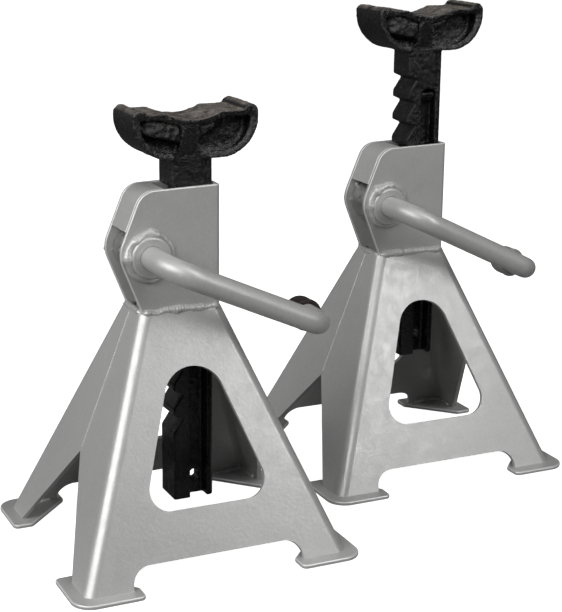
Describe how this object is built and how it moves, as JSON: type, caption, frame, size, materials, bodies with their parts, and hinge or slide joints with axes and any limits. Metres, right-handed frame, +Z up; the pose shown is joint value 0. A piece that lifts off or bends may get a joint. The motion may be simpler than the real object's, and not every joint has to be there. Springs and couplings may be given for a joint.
{
  "type": "ratchet axle stand pair",
  "caption": "Pair of welded steel ratchet axle stands with four-legged pressed bases, cast-iron toothed posts with cradle saddles, and bent release handles.",
  "frame": {"origin": "on the floor, at the middle of the pair's bounding box", "axes": "+X from stand A towards stand B, the way the handles reach; +Y towards the stands' rear faces; +Z up"},
  "size_m": [0.4262, 0.2746, 0.353],
  "materials": {
    "base_paint": "silver-grey gloss paint on pressed steel",
    "housing_paint": "satin grey paint on folded steel",
    "handle_paint": "grey gloss paint on a round steel bar",
    "cast_iron": "gloss black paint on rough cast iron",
    "rubber": "dark matt rubber",
    "grey_rubber": "rubber sprayed over with the handle's grey paint",
    "pawl_steel": "bare machined steel"
  },
  "bodies": {
    "stand_a_frame": {"front_leg_panel_a": "base_paint", "rear_leg_panel_a": "base_paint", "front_left_foot_plate_a": "base_paint", "front_right_foot_plate_a": "base_paint", "rear_left_foot_plate_a": "base_paint", "rear_right_foot_plate_a": "base_paint", "ratchet_housing_a": "housing_paint", "housing_strap_a": "housing_paint", "post_guide_a": "housing_paint", "front_pivot_bush_a": "housing_paint", "rear_pivot_bush_a": "housing_paint"},
    "post_a": {"ratchet_post_a": "cast_iron"},
    "handle_a": {"release_handle_a": "handle_paint", "handle_end_cap_a": "rubber", "ratchet_pawl_a": "pawl_steel", "pawl_roll_pin_a": "pawl_steel"},
    "stand_b_frame": {"front_leg_panel_b": "base_paint", "rear_leg_panel_b": "base_paint", "front_left_foot_plate_b": "base_paint", "front_right_foot_plate_b": "base_paint", "rear_left_foot_plate_b": "base_paint", "rear_right_foot_plate_b": "base_paint", "ratchet_housing_b": "housing_paint", "housing_strap_b": "housing_paint", "post_guide_b": "housing_paint", "front_pivot_bush_b": "housing_paint", "rear_pivot_bush_b": "housing_paint"},
    "post_b": {"ratchet_post_b": "cast_iron"},
    "handle_b": {"release_handle_b": "handle_paint", "handle_end_cap_b": "grey_rubber", "ratchet_pawl_b": "pawl_steel", "pawl_roll_pin_b": "pawl_steel"}
  },
  "joints": [
    {"name": "pair_spacing", "type": "slide", "parent": "stand_a_frame", "child": "stand_b_frame", "axis": [1, 0, 0], "range_m": [0, 0.4]},
    {"name": "post_a_slide", "type": "slide", "parent": "stand_a_frame", "child": "post_a", "axis": [0, 0, 1], "range_m": [-0.0175, 0.14]},
    {"name": "post_b_slide", "type": "slide", "parent": "stand_b_frame", "child": "post_b", "axis": [0, 0, 1], "range_m": [-0.07, 0.0875]},
    {"name": "handle_a_hinge", "type": "hinge", "parent": "stand_a_frame", "child": "handle_a", "pos_m": [-0.13315, -0.04225, 0.2032], "axis": [0, -1, 0], "range_deg": [0, 30]},
    {"name": "handle_b_hinge", "type": "hinge", "parent": "stand_b_frame", "child": "handle_b", "pos_m": [0.09015, 0.04225, 0.2032], "axis": [0, -1, 0], "range_deg": [0, 30]}
  ]
}
